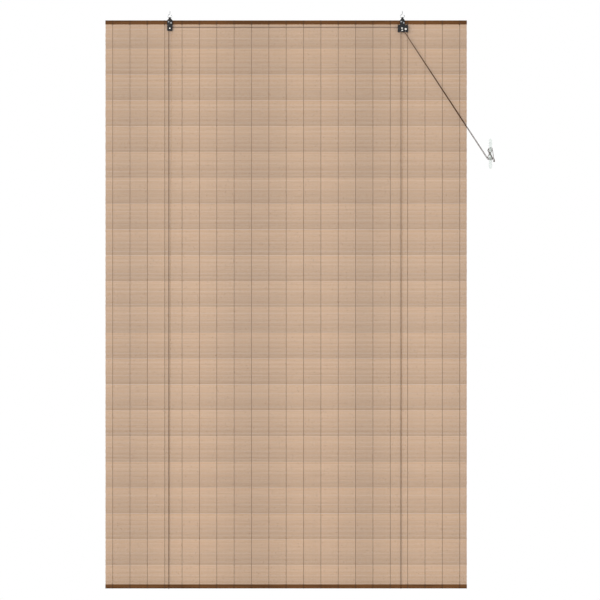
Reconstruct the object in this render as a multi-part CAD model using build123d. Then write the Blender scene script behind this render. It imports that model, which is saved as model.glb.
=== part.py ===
"""Bamboo roll up blind: a woven reed mat between two bamboo battens, hung from two screw hooks
by folded strap blocks with grooved wheels, drawn up by two cords that pass a cam lock and end on
a clear cleat.

Frame: +Z up, -Y is the front that faces the room, X along the blind. Z = 0 is the ceiling that
the hooks are screwed into, Y = 0 is the plane of the hook rings, X = 0 is half way between them.
Lengths are in millimetres.
"""

from build123d import *
import math
import os

os.makedirs("parts", exist_ok=True)

# Blind as a whole
blind_width = 1400.0
blind_height = 2200.0
head_drop = 26.0  # from the ceiling down to the head batten's upper edge

# Battens
batten_height = 15.0
batten_depth = 8.0
batten_crown = 1.0
batten_corner = 2.0
wall_gap = 8.6  # from the battens' back to the wall

# Reed mat
reed_pitch = 5.0
reed_thickness = 1.8
groove_width = 1.2
groove_depth = 0.5
band_height = 100.0
first_band = 95.0  # from the head batten's lower edge to the first open gap
gap_height = 1.4
gap_bays = 4
gap_bridge = 5.0

# Warp threads
warp_pitch = 67.2
warp_margin = 20.0  # least distance from the outer threads to the mat's ends
warp_width = 1.2
warp_thickness = 0.4
loop_corner = 1.16  # cut across a batten's rounded edge, where a thread passes over it
loop_corner_growth = 0.16  # the same cut's gain on the thread's outer side
warp_step = 6.0  # height in which a thread comes in from a batten to the thin mat

# Screw hooks
hook_bays = 3  # whole bays from the outer thread to the bay that a hook stands in
hook_from_thread = 20.4
hook_wire = 3.0
ring_radius = 7.4
hook_bend = 2.5
shank_length = 12.0
shank_point = 3.5
point_radius = 0.15
hook_mouth = 3.5
shank_lead = 0.6  # straight wire below the ceiling, above the bend into the ring

# Cords and the wheels they run on
cord_diameter = 2.0
cord_line_radius = 4.2
wheel_width = 4.0
wheel_radius = 4.8
groove_slack = 0.3
side_clearance = 0.2
running_clearance = 0.05
hole_clearance = 0.1
clamp_slack = 0.4  # room for the cord's eye under a washer, beside its own thickness
axle_radius = 1.5

# Strap blocks
strap_thickness = 1.2
neck_half_width = 3.2
neck_drop = 4.0
fold_flat = 0.02  # flat left between the two bends of the fold
hang_clearance = 0.2
left_half_width = 10.4
left_length = 41.5
left_corner = 4.0
upper_half_width = 9.1
shoulder_drop = 18.0
foot_drop = 46.6
foot_left = 18.1
ear_right = 22.6
foot_corner = 2.5
ear_corner = 5.0
notch_half_width = 3.0
notch_depth = 3.4
scallop_radius = 4.2
scallop_height = 2.6
cam_scallop_inset = 2.0
joggle_top = 6.0
joggle_height = 5.0

# Axles below the head batten's upper edge, and beside the hook's centre
wheel_drop = 31.0
right_wheel_offset = -1.3
roller_offset = -0.6
roller_drop = 39.4
roller_radius = 3.1
roller_axle_radius = 1.2
cam_offset = 12.9
cam_drop = 34.3
cam_axle_radius = 2.0
rivet_head_radius = 3.0
roller_rivet_radius = 2.8
cam_rivet_radius = 3.8
rivet_head_height = 1.2
rivet_tail_radius = 2.4
rivet_tail_height = 0.8

# Locking cam
cam_radius = 8.7
cam_rise = 0.6
cam_hub_radius = 4.4
tooth_depth = 0.7
tooth_pitch = 8.0
tooth_lead = 5.6  # the part of a tooth's pitch on its long side
tooth_start = 176.0
tooth_end = 240.0
rise_start = 213.0
cam_end = 362.0
cam_end_steps = 6

# Fixings through the head batten
screw_radius = 1.4
screw_reach_x = 4.7
screw_drops = (5.9, 10.5)
screw_tail = 0.8  # length behind the outer nut
screw_head_radius = 2.8
screw_head_height = 1.8
screw_head_round = 0.81
slot_width = 0.8
slot_depth = 0.9
spacer_radius = 2.6
washer_radius = 4.0
washer_thickness = 0.8
nut_flats = 5.5
nut_thickness = 2.2

# Cleat on the wall beside the blind
cleat_offset = 91.0  # from the mat's end
cleat_drop = 517.0  # from the head batten's upper edge
cleat_height = 116.0
cleat_front_y = -2.0
cleat_tip_lean = 4.0
horn_thickness = 5.4
tip_thickness = 4.0
stem_half_height = 12.0
base_half_height = 21.0
base_thickness = 3.0
base_half_width = 6.4
base_corner = 4.48
waist_half_width = 4.0
horn_half_width = 6.3
tip_half_width = 4.6
horn_widest = 42.0
tip_round = 4.14
belly_round = 12.6
horn_middle = 34.8  # where a horn's curve has its middle point, from the cleat's centre
front_middle_lean = 1.4
under_middle_lean = 1.2
tip_slope = 0.25
root_height = 15.6  # where a horn's underside starts to turn into the stem
root_rise = 1.6
root_run = 0.8
root_drop = 0.6
horn_core_start = 27.0
horn_core_end = 48.8
horn_core_wall = 1.5
horn_core_floor = 0.7  # from the stem's front to the floor of the cores
cleat_screw_radius = 2.0
cleat_screw_sink = 3.8
cleat_sink_depth = 2.0
cleat_edge = 0.8
cleat_screw_spacing = 13.0

# Knot that joins the two cords' ends
knot_radius = 3.2
knot_height = 6.0
knot_edge = 0.7

# How far a cutting shape runs past what it cuts
overcut = 1.0

# Values that follow from those above
cord_radius = cord_diameter / 2
batten_top = -head_drop
batten_foot = batten_top - batten_height
mat_foot = batten_top - blind_height + batten_height
blind_foot = batten_top - blind_height
plate_inner = wheel_width / 2 + side_clearance
plate_outer = plate_inner + strap_thickness
wheel_gap = wheel_width + side_clearance
front_inner = plate_inner + wheel_gap
front_outer = front_inner + strap_thickness
batten_front = plate_outer
batten_back = batten_front + batten_depth
wall_y = batten_back + wall_gap
mat_front = batten_front + (batten_depth - reed_thickness) / 2
mat_back = mat_front + reed_thickness
ring_z = -shank_lead - math.sqrt((ring_radius + hook_bend) ** 2 - hook_bend**2)
ring_inner = ring_radius - hook_wire / 2
strap_inner_top = ring_z - math.sqrt(ring_inner**2 - neck_half_width**2) + hang_clearance
strap_top = strap_inner_top + strap_thickness
neck_foot = strap_top - neck_drop
warp_bays = 2 * int((blind_width / 2 - warp_margin) // warp_pitch)
first_warp = -warp_bays * warp_pitch / 2
left_x = first_warp + hook_bays * warp_pitch + hook_from_thread
right_x = -left_x
wheel_z = batten_top - wheel_drop
cord_clamp = cord_diameter + clamp_slack
screw_end = batten_back + cord_clamp + washer_thickness + nut_thickness + screw_tail
cleat_x = blind_width / 2 + cleat_offset
cleat_z = batten_top - cleat_drop


def y_rod(x, z, y_front, y_back, radius):
    """A round rod along Y between two depths."""
    rod = Cylinder(radius, y_back - y_front)
    return Pos(x, (y_front + y_back) / 2, z) * Rot(90, 0, 0) * rod


def y_plate(face, y_front, y_back):
    """A face drawn in X and Z, given a thickness from one depth to another."""
    return Pos(0, y_back, 0) * extrude(Plane.XZ * face, amount=y_back - y_front)


def x_bar(face, x_start, length):
    """A face drawn in Y and Z, drawn out along X."""
    return Pos(x_start, 0, 0) * extrude(Plane.YZ * face, amount=length)


def save(node, shape):
    """Writes one named piece."""
    export_step(shape, f"parts/{node}.step")


def screw_hook(x):
    """An open ring bent from wire below a pointed shank."""
    mouth = (hook_mouth + hook_wire) / ring_radius
    start = math.pi - math.acos(hook_bend / (ring_radius + hook_bend))
    end = 2 * math.pi + math.pi / 2 - mouth
    middle = (start + end) / 2

    def on_ring(angle):
        return (ring_radius * math.cos(angle), ring_z + ring_radius * math.sin(angle))

    lean = start - math.pi / 2
    bend_middle = (
        -hook_bend + hook_bend * math.cos((math.pi / 2 - lean) / 2),
        -shank_lead - hook_bend * math.sin((math.pi / 2 - lean) / 2),
    )
    straight = Line((0, shank_length - shank_point), (0, -shank_lead))
    bend = ThreePointArc((0, -shank_lead), bend_middle, on_ring(start))
    ring = ThreePointArc(on_ring(start), on_ring(middle), on_ring(end))
    path = Plane.XZ * (straight + bend + ring)
    section = Plane.XY.offset(shank_length - shank_point) * Circle(hook_wire / 2)
    wire = sweep(section, path=path)
    point_z = shank_length - shank_point / 2
    point = Pos(0, 0, point_z) * Cone(hook_wire / 2, point_radius, shank_point)
    return Pos(x, 0, 0) * (wire + point)


def crowned_batten(foot):
    """A bamboo lath with a crowned front and rounded edges, from its lower edge up."""
    bow = ((batten_height / 2) ** 2 + batten_crown**2) / (2 * batten_crown)
    middle = foot + batten_height / 2
    block = Pos((batten_front + batten_back) / 2, middle) * Rectangle(batten_depth, batten_height)
    section = block & (Pos(batten_front + bow, middle) * Circle(bow))
    section = fillet(section.vertices(), batten_corner)
    return x_bar(section, -blind_width / 2, blind_width)


def screw_places(hook_x):
    """The two fixing screws of a block, as X and Z."""
    sides = (-screw_reach_x, screw_reach_x)
    return [(hook_x + side, batten_top - drop) for side, drop in zip(sides, screw_drops)]


def head_batten():
    """The upper lath, bored for the four fixing screws."""
    bores = [
        y_rod(x, z, batten_front - overcut, batten_back + overcut, screw_radius + hole_clearance)
        for x, z in screw_places(left_x) + screw_places(right_x)
    ]
    return crowned_batten(batten_foot) - bores


def reed_mat():
    """All the reeds as one wall: a ridge for each reed, and open gaps along each band's edge."""
    reeds = round((batten_foot - mat_foot) / reed_pitch)
    pitch = (batten_foot - mat_foot) / reeds
    outline = [(mat_back, batten_foot), (mat_front, batten_foot)]
    for reed in range(1, reeds):
        z = batten_foot - reed * pitch
        outline.append((mat_front, z + groove_width / 2))
        outline.append((mat_front + groove_depth, z))
        outline.append((mat_front, z - groove_width / 2))
    outline.append((mat_front, mat_foot))
    outline.append((mat_back, mat_foot))
    wall = x_bar(make_face(Polyline(*outline, close=True)), -blind_width / 2, blind_width)

    length = gap_bays * warp_pitch - 2 * gap_bridge
    rows = int((batten_foot - mat_foot - first_band - gap_height) // band_height) + 1
    gaps = []
    for row in range(rows):
        z = batten_foot - first_band - row * band_height
        for bay in range(0, warp_bays - gap_bays + 1, gap_bays):
            x = first_warp + bay * warp_pitch + gap_bridge + length / 2
            gaps.append(Pos(x, mat_front, z) * Box(length, 4 * reed_thickness, gap_height))
    return wall - gaps


def warp_threads():
    """The threads that tie the reeds, each one a flat loop round both battens and the mat."""

    def loop(grow, corner):
        front = batten_front - grow
        back = batten_back + grow
        outline = [
            (front, batten_foot),
            (front, batten_top + grow - corner),
            (front + corner, batten_top + grow),
            (back - corner, batten_top + grow),
            (back, batten_top + grow - corner),
            (back, batten_foot),
            (mat_back + grow, batten_foot - warp_step),
            (mat_back + grow, mat_foot + warp_step),
            (back, mat_foot),
            (back, blind_foot - grow + corner),
            (back - corner, blind_foot - grow),
            (front + corner, blind_foot - grow),
            (front, blind_foot - grow + corner),
            (front, mat_foot),
            (mat_front - grow, mat_foot + warp_step),
            (mat_front - grow, batten_foot - warp_step),
        ]
        return make_face(Polyline(*outline, close=True))

    band = loop(warp_thickness, loop_corner + loop_corner_growth) - loop(0, loop_corner)
    thread = x_bar(band, first_warp - warp_width / 2, warp_width)
    return Compound([Pos(i * warp_pitch, 0, 0) * thread for i in range(warp_bays + 1)])


def grooved_wheel(x, y):
    """A cord wheel on its axle at wheel height."""
    body = Pos(wheel_radius / 2, 0) * Rectangle(wheel_radius, wheel_width)
    groove = Pos(cord_line_radius, 0) * Circle(cord_radius + groove_slack)
    bore = Rectangle(2 * (axle_radius + running_clearance), 2 * wheel_width)
    return Pos(x, y, wheel_z) * revolve(body - groove - bore, Axis.Y)


def rivet(x, z, y_front, radius, head_radius):
    """A domed rivet from the front plate to the back plate of a block."""
    shank = y_rod(x, z, y_front, plate_outer, radius)
    rise = (head_radius**2 + rivet_head_height**2) / (2 * rivet_head_height)
    dome = Pos(x, y_front - rivet_head_height + rise, z) * Sphere(rise)
    head = dome & y_rod(x, z, y_front - rivet_head_height, y_front, head_radius)
    tail = y_rod(x, z, plate_outer, plate_outer + rivet_tail_height, rivet_tail_radius)
    return shank + head + tail


def anvil_roller():
    """The plain roller that the cords are pressed against."""
    x = right_x + roller_offset
    z = batten_top - roller_drop
    y_front = -front_inner + side_clearance
    y_back = plate_inner - side_clearance
    body = y_rod(x, z, y_front, y_back, roller_radius)
    bore_radius = roller_axle_radius + running_clearance
    return body - y_rod(x, z, y_front - overcut, y_back + overcut, bore_radius)


def locking_cam():
    """A half round cam, toothed where it meets the cords, with its radius growing past them."""

    def reach(angle):
        share = min(max((angle - rise_start) / (tooth_end - rise_start), 0.0), 1.0)
        fall = min(max((angle - tooth_end) / (cam_end - tooth_end), 0.0), 1.0)
        return cam_radius + cam_rise * share - cam_rise * 2 * fall

    def polar(angle, radius):
        turn = math.radians(angle)
        return (radius * math.cos(turn), radius * math.sin(turn))

    edge = []
    teeth = int((tooth_end - tooth_start) / tooth_pitch)
    for tooth in range(teeth):
        angle = tooth_start + tooth * tooth_pitch
        edge.append(polar(angle, reach(angle) - tooth_depth))
        edge.append(polar(angle + tooth_lead, reach(angle)))
    edge.append(polar(tooth_end, reach(tooth_end) - tooth_depth))
    step = (cam_end - tooth_end) / cam_end_steps
    smooth = [tooth_end + step * count for count in range(1, cam_end_steps + 1)]
    edge += [polar(angle, reach(angle)) for angle in smooth]
    blade = make_face(Polyline(*edge, close=True)) + Circle(cam_hub_radius)
    x = right_x + cam_offset
    z = batten_top - cam_drop
    bore = Circle(cam_axle_radius + running_clearance)
    face = Pos(x, z) * (blade - bore)
    return y_plate(face, -front_inner + side_clearance, plate_inner - side_clearance)


def neck_outline(half_width, shoulder_z):
    """The upper part of a block, from the fold over the ring down to its full width."""
    return [
        (-neck_half_width, strap_top + overcut),
        (neck_half_width, strap_top + overcut),
        (neck_half_width, neck_foot),
        (half_width, batten_top),
        (half_width, shoulder_z),
        (-half_width, shoulder_z),
        (-half_width, batten_top),
        (-neck_half_width, neck_foot),
    ]


def folded_strip(front_y, foot_z, half_width):
    """The strap's side view: a strip folded over the ring, with its front leg set forward."""
    line = plate_inner + strap_thickness / 2
    top = strap_top - strap_thickness / 2
    bend = line - fold_flat / 2
    if front_y > line + strap_thickness:
        step_z = batten_top + joggle_top
        points = [
            (line, foot_z),
            (line, top),
            (-line, top),
            (-line, step_z),
            (-front_y, step_z - joggle_height),
            (-front_y, foot_z),
        ]
        radii = [bend, bend, strap_thickness, strap_thickness]
    else:
        points = [(line, foot_z), (line, top), (-line, top), (-line, foot_z)]
        radii = [bend, bend]
    strip = trace(FilletPolyline(*points, radius=radii), line_width=strap_thickness)
    return x_bar(strip, -half_width, 2 * half_width)


def left_strap():
    """The plain block's strap, folded from one strip and bored for its screws and axle."""
    foot = batten_top - left_length
    outline = neck_outline(left_half_width, foot)
    face = make_face(Polyline(*outline, close=True))
    low = [v for v in face.vertices() if abs(v.Y - foot) < 0.01]
    face = fillet(low, left_corner)
    strip = folded_strip(plate_inner + strap_thickness / 2, foot, left_half_width)
    reach = plate_outer + overcut
    strap = strip & y_plate(face, -reach, reach)
    holes = [
        y_rod(x - left_x, z, -reach, reach, screw_radius + hole_clearance)
        for x, z in screw_places(left_x)
    ]
    holes.append(y_rod(0, wheel_z, -reach, reach, axle_radius))
    return Pos(left_x, 0, 0) * (strap - holes)


def right_strap():
    """The lock block's strap: a wider lower part with an ear at the cam and two scallops."""
    foot = batten_top - foot_drop
    shoulder = batten_top - shoulder_drop
    neck = neck_outline(upper_half_width, shoulder - overcut)
    upper = make_face(Polyline(*neck, close=True))
    lower = make_face(
        Polyline(
            (-foot_left, shoulder),
            (ear_right, shoulder),
            (ear_right, foot),
            (-foot_left, foot),
            close=True,
        )
    )
    ear = [v for v in lower.vertices() if v.X > 0 and abs(v.Y - shoulder) < 0.01]
    lower = fillet(ear, ear_corner)
    rest = [v for v in lower.vertices() if abs(v.Y - foot) < 0.01 or abs(v.X + foot_left) < 0.01]
    lower = fillet(rest, foot_corner)
    notch_x = upper_half_width + notch_half_width
    notch = make_face(
        Polyline(
            (notch_x - notch_half_width, shoulder + overcut),
            (notch_x + notch_half_width, shoulder + overcut),
            (notch_x, shoulder - notch_depth),
            close=True,
        )
    )
    scallops = [
        Pos(x, foot - scallop_radius + scallop_height) * Circle(scallop_radius)
        for x in (right_wheel_offset - cord_line_radius, cam_offset - cam_scallop_inset)
    ]
    face = upper + lower - notch - scallops
    reach = max(foot_left, ear_right)
    strip = folded_strip(front_inner + strap_thickness / 2, foot, reach)
    y_front = -front_outer - overcut
    y_back = plate_outer + overcut
    strap = strip & y_plate(face, y_front, y_back)
    bores = [(px - right_x, pz, screw_radius + hole_clearance) for px, pz in screw_places(right_x)]
    bores.append((right_wheel_offset, wheel_z, axle_radius))
    bores.append((roller_offset, batten_top - roller_drop, roller_axle_radius))
    bores.append((cam_offset, batten_top - cam_drop, cam_axle_radius))
    holes = [y_rod(x, z, y_front, y_back, radius) for x, z, radius in bores]
    return Pos(right_x, 0, 0) * (strap - holes)


def spacers(hook_x, y_front):
    """The tubes that keep a block's plates apart at its fixing screws."""
    tubes = []
    for x, z in screw_places(hook_x):
        tube = y_rod(x, z, y_front, plate_inner, spacer_radius)
        bore_radius = screw_radius + hole_clearance
        tubes.append(tube - y_rod(x, z, y_front - overcut, plate_inner + overcut, bore_radius))
    return Compound(tubes)


def fixing_screws(hook_x, y_front):
    """Two slotted pan head screws through a block and the head batten."""
    screws = []
    for x, z in screw_places(hook_x):
        shank = y_rod(x, z, y_front, screw_end, screw_radius)
        head = y_rod(x, z, y_front - screw_head_height, y_front, screw_head_radius)
        head = fillet(head.edges().group_by(Axis.Y)[0], screw_head_round)
        slot_y = y_front - screw_head_height + slot_depth / 2
        slot = Pos(x, slot_y, z) * Box(3 * screw_head_radius, slot_depth, slot_width)
        screws.append(shank + (head - slot))
    return Compound(screws)


def washer_front(place):
    """The depth where a washer starts: against the batten, or behind a clamped cord."""
    return batten_back + (cord_clamp if place == 1 else 0.0)


def fixing_washers():
    """Plain washers on the four screws, the second of each pair over the cord's eye."""
    rings = []
    for hook_x in (left_x, right_x):
        for place, (x, z) in enumerate(screw_places(hook_x)):
            front = washer_front(place)
            back = front + washer_thickness
            disc = y_rod(x, z, front, back, washer_radius)
            bore_radius = screw_radius + hole_clearance
            rings.append(disc - y_rod(x, z, front - overcut, back + overcut, bore_radius))
    return Compound(rings)


def fixing_nuts():
    """Hexagon nuts behind the washers."""
    nuts = []
    for hook_x in (left_x, right_x):
        for place, (x, z) in enumerate(screw_places(hook_x)):
            front = washer_front(place) + washer_thickness
            back = front + nut_thickness
            face = Pos(x, z) * RegularPolygon(nut_flats / 2, 6, major_radius=False)
            nut = y_plate(face, front, back)
            nuts.append(nut - y_rod(x, z, front - overcut, back + overcut, screw_radius))
    return Compound(nuts)


def cleat():
    """A clear moulded cleat: two leaning horns on a stem, cored from behind, with a base."""
    half = cleat_height / 2
    stem_front = cleat_front_y + horn_thickness

    def side_half(sign):
        front = Spline(
            (cleat_front_y, 0),
            (cleat_front_y - front_middle_lean, sign * horn_middle),
            (cleat_front_y - cleat_tip_lean, sign * half),
            tangents=((0, sign), (-tip_slope, sign)),
        )
        tip = Line(front @ 1, (cleat_front_y - cleat_tip_lean + tip_thickness, sign * half))
        under = Spline(
            tip @ 1,
            (stem_front - under_middle_lean, sign * horn_middle),
            (stem_front, sign * root_height),
            (stem_front + root_rise, sign * stem_half_height),
            tangents=((tip_slope, -sign), (root_run, -sign * root_drop)),
        )
        root = Polyline(
            under @ 1,
            (wall_y - base_thickness, sign * stem_half_height),
            (wall_y - base_thickness, sign * base_half_height),
            (wall_y, sign * base_half_height),
            (wall_y, 0),
            (cleat_front_y, 0),
        )
        return make_face(front + tip + under + root)

    side = side_half(1) + side_half(-1)
    body = x_bar(side, -base_half_width, 2 * base_half_width)

    front_points = [
        (-waist_half_width, -stem_half_height),
        (-waist_half_width, stem_half_height),
        (-horn_half_width, horn_widest),
        (-tip_half_width, half),
        (tip_half_width, half),
        (horn_half_width, horn_widest),
        (waist_half_width, stem_half_height),
        (waist_half_width, -stem_half_height),
        (horn_half_width, -horn_widest),
        (tip_half_width, -half),
        (-tip_half_width, -half),
        (-horn_half_width, -horn_widest),
    ]
    outline = make_face(Polyline(*front_points, close=True))
    tips = [v for v in outline.vertices() if abs(abs(v.Y) - half) < 0.01]
    outline = fillet(tips, tip_round)
    belly = [v for v in outline.vertices() if abs(abs(v.Y) - horn_widest) < 0.01]
    outline = fillet(belly, belly_round)
    tip_y = cleat_front_y - cleat_tip_lean
    horns = y_plate(outline, tip_y - overcut, wall_y - base_thickness)
    pad = RectangleRounded(2 * base_half_width, 2 * base_half_height, base_corner)
    base = y_plate(pad, wall_y - base_thickness, wall_y + overcut)
    body = body & (horns + base)
    front_edges = [e for e in body.edges() if e.center().Y < cleat_front_y + cleat_edge / 2]
    body = fillet(front_edges, cleat_edge)

    core_face = make_face(
        Polyline(
            (-waist_half_width + horn_core_wall, horn_core_start),
            (waist_half_width - horn_core_wall, horn_core_start),
            (horn_half_width - horn_core_wall, horn_widest),
            (tip_half_width - horn_core_wall, horn_core_end),
            (-tip_half_width + horn_core_wall, horn_core_end),
            (-horn_half_width + horn_core_wall, horn_widest),
            close=True,
        )
    )
    cores = [y_plate(core_face, cleat_front_y + horn_core_floor, wall_y)]
    cores.append(mirror(cores[0], about=Plane.XY))
    bores = []
    for z in (-cleat_screw_spacing / 2, cleat_screw_spacing / 2):
        bores.append(y_rod(0, z, cleat_front_y - overcut, wall_y + overcut, cleat_screw_radius))
        sink = Cone(cleat_screw_radius, cleat_screw_sink, cleat_sink_depth)
        bores.append(Pos(0, cleat_front_y + cleat_sink_depth / 2, z) * Rot(90, 0, 0) * sink)
    return Pos(cleat_x, 0, cleat_z) * (body - cores - bores)


def cord_knot():
    """The knot at the cords' ends, as a rounded barrel that both cords enter from above."""
    ends = [Vector(*left_cord_points[-1]), Vector(*right_cord_points[-1])]
    middle = (ends[0] + ends[1]) / 2
    barrel = Pos(middle.X, middle.Y, middle.Z - knot_height / 2) * Cylinder(knot_radius, knot_height)
    return fillet(barrel.edges().filter_by(GeomType.CIRCLE), knot_edge)


# The routes of the two cords, from the eye behind the head batten to the knot at the cleat
left_cord_points = [
    (-445.1, 12.7, -39.25),
    (-448.05, 12.7, -39.25),
    (-448.05, 12.7, -33.75),
    (-442.55, 12.7, -33.75),
    (-454.2, 12.7, -2227.3),
    (-454.2, 2.1, -2227.3),
    (-454.2, 0.0, -52.8),
    (452.9, 0.0, -52.8),
    (452.9, 0.0, -63.3),
    (781.0, 5.2, -565.6),
    (799.6, 6.4, -567.8),
    (799.8, -4.2, -556.6),
    (782.2, -4.2, -530.0),
    (784.2, 6.4, -520.0),
    (797.4, 6.8, -517.8),
    (798.8, -7.0, -528.6),
    (779.0, -7.0, -553.6),
    (783.4, 8.2, -559.8),
    (799.4, 9.4, -558.8),
    (806.2, 0.0, -561.4),
    (806.2, 0.0, -568.0),
]
left_cord_radii = [2.5, 2.5, 2.5, 4.0, 4.0, 4.2, 4.2, 10.0]
left_cord_radii += [6.0, 4.0, 5.0, 5.0, 4.0, 4.0, 5.5, 6.0, 6.0, 4.0, 2.5]

right_cord_points = [
    (454.5, 12.7, -39.25),
    (457.45, 12.7, -39.25),
    (457.45, 12.7, -33.75),
    (451.95, 12.7, -33.75),
    (444.5, 12.7, -2227.3),
    (444.5, 2.1, -2227.3),
    (444.5, -4.2, -52.8),
    (452.9, -4.2, -52.8),
    (452.9, -4.2, -63.3),
    (783.0, 4.6, -563.2),
    (797.4, 5.2, -565.0),
    (797.6, -4.2, -558.0),
    (779.8, -4.2, -531.6),
    (781.4, 5.6, -525.4),
    (796.2, 5.8, -522.6),
    (799.2, -2.6, -530.0),
    (801.4, -3.4, -547.0),
    (803.8, 0.0, -560.0),
    (803.8, 0.0, -568.0),
]
right_cord_radii = [2.5, 2.5, 2.5, 4.0, 4.0, 4.0, 4.0, 10.0]
right_cord_radii += [6.0, 4.0, 5.0, 5.0, 4.5, 4.0, 6.0, 12.0, 8.0]


def cord(name, points, radii):
    """A round cord along straight runs joined by tangent arcs, with its facts printed."""
    path = FilletPolyline(*points, radius=radii)
    start = Vector(*points[0])
    first = Vector(*points[1]) - start
    section = Plane(origin=start, z_dir=first) * Circle(cord_radius)
    tube = sweep(section, path=path)
    expected = math.pi * cord_radius**2 * path.length
    print(name, "length", round(path.length, 1), "volume ratio", round(tube.volume / expected, 5))
    print(name, "arc radii", radii)
    return tube


right_wheel_x = right_x + right_wheel_offset
roller_x = right_x + roller_offset
roller_z = batten_top - roller_drop
cam_x = right_x + cam_offset
cam_z = batten_top - cam_drop

save("left_hook", screw_hook(left_x))
save("right_hook", screw_hook(right_x))
save("head_batten", head_batten())
save("bottom_batten", crowned_batten(blind_foot))
save("reed_mat", reed_mat())
save("warp_threads", warp_threads())
save("left_strap", left_strap())
save("right_strap", right_strap())
save("left_spacers", spacers(left_x, -plate_inner))
save("right_spacers", spacers(right_x, -front_inner))
save("left_fixing_screws", fixing_screws(left_x, -plate_outer))
save("right_fixing_screws", fixing_screws(right_x, -front_outer))
save("fixing_washers", fixing_washers())
save("fixing_nuts", fixing_nuts())
save("left_wheel", grooved_wheel(left_x, 0))
save("right_rear_wheel", grooved_wheel(right_wheel_x, 0))
save("right_front_wheel", grooved_wheel(right_wheel_x, -wheel_gap))
save("left_axle", rivet(left_x, wheel_z, -plate_outer, axle_radius, rivet_head_radius))
save("right_axle", rivet(right_wheel_x, wheel_z, -front_outer, axle_radius, rivet_head_radius))
save("anvil_roller", anvil_roller())
save("roller_axle", rivet(roller_x, roller_z, -front_outer, roller_axle_radius, roller_rivet_radius))
save("locking_cam", locking_cam())
save("cam_axle", rivet(cam_x, cam_z, -front_outer, cam_axle_radius, cam_rivet_radius))
save("cleat", cleat())
save("cord_end_knot", cord_knot())
save("left_cord", cord("left cord", left_cord_points, left_cord_radii))
save("right_cord", cord("right cord", right_cord_points, right_cord_radii))
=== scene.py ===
"""Bamboo roll up blind, dressed for rendering.

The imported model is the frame, and every piece here sits on it. The classes hold their sizes in
millimetres, in the part's own axes: X along the blind, -Y to the room, Z = 0 at the ceiling.
Reeds, warp threads, cords, their knot and the hooks are modelled here. The straps and the cleat
are copies of the frame's solids with softened edges. The other pieces are the frame's own solids,
and get a finish from this file.
"""

import logging
import math
import random
from collections.abc import Sequence
from dataclasses import dataclass
from enum import Enum
from functools import cache

import bpy
from mathutils import Matrix, Vector


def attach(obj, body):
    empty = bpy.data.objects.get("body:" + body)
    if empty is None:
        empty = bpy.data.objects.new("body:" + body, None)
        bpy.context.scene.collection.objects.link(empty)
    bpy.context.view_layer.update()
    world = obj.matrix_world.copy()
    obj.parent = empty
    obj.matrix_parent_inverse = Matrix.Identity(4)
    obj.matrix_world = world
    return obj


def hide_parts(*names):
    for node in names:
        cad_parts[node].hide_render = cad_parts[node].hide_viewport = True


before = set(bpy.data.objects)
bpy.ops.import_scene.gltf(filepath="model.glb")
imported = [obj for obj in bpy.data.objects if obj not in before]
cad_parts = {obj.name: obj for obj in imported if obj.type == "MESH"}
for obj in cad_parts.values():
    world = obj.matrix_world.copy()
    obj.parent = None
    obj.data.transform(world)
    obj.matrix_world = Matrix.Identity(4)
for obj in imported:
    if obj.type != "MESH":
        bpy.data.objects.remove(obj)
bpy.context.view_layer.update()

MM = 0.001
ROOT_BODY = "blind"
LOG = logging.getLogger("blind")

# Two points nearer than this, in metres, are one
SAME_PLACE = 1e-6
# An edge runs along X where this share of its length does
MOSTLY = 0.999

# What a finish shares with the piece that wears it, lengths in millimetres
MAT_TOP = -41.0
MAT_FOOT = -2211.0
REED_PITCH = 5.0
WARP_PITCH = 67.2
CORD_STRANDS = 3
TWIST_PITCH = 7.5

Piece = bpy.types.Object
Material = bpy.types.Material
Node = bpy.types.Node
Tree = bpy.types.NodeTree
Socket = bpy.types.NodeSocket
Value = float | Socket
Span = tuple[float, float]
Place = tuple[float, float, float]
Colour = tuple[float, float, float]
Inputs = dict[int | str, Value | Colour]
Kinds = dict[str, str]


class Side(Enum):
    """The two ends of the blind, by the sign of X."""

    LEFT = -1
    RIGHT = 1


class Face(Enum):
    """The face of the mat that a warp strand lies on at its first reed."""

    FRONT = 0
    BACK = 1


# Modelling helpers


def metres(x: float, y: float, z: float) -> Vector:
    """A place in metres, from its millimetres."""
    return Vector((x, y, z)) * MM


def deselect_all() -> None:
    """Leaves object mode with nothing selected."""
    if bpy.context.object and bpy.context.object.mode != "OBJECT":
        bpy.ops.object.mode_set(mode="OBJECT")
    bpy.ops.object.select_all(action="DESELECT")


def make_active(piece: Piece, *others: Piece) -> None:
    """Selects pieces alone and makes the first one active.

    Args:
        piece: The piece to work on.
        others: More pieces to select, which a join takes up.
    """
    deselect_all()
    for chosen in (piece, *others):
        chosen.select_set(True)
    bpy.context.view_layer.objects.active = piece


def add_object(name: str, data: bpy.types.ID) -> Piece:
    """Links a new object at the origin.

    Args:
        name: The object's name.
        data: Its mesh, curve, lamp or camera.

    Returns:
        The new object.
    """
    piece = bpy.data.objects.new(name, data)
    bpy.context.scene.collection.objects.link(piece)
    return piece


def named_primitive(name: str) -> Piece:
    """Names the primitive that was just added and bakes its place into its mesh.

    Args:
        name: The piece's name.

    Returns:
        The active object.
    """
    piece = bpy.context.object
    piece.name = name
    piece.data.name = name
    bpy.ops.object.transform_apply(location=True, rotation=True, scale=True)
    return piece


def add_spline(curve: bpy.types.Curve, kind: str, places: Sequence[Place]) -> bpy.types.Spline:
    """Adds an open spline to a curve.

    Args:
        curve: The curve that gets it.
        kind: POLY or NURBS.
        places: Its points, in millimetres.

    Returns:
        The new spline.
    """
    spline = curve.splines.new(kind)
    spline.points.add(len(places) - 1)
    for point, place in zip(spline.points, places):
        point.co = (*metres(*place), 1.0)
    return spline


def edit_all() -> None:
    """Opens the active piece in edit mode, all of it selected."""
    bpy.ops.object.mode_set(mode="EDIT")
    bpy.ops.mesh.select_all(action="SELECT")


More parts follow.
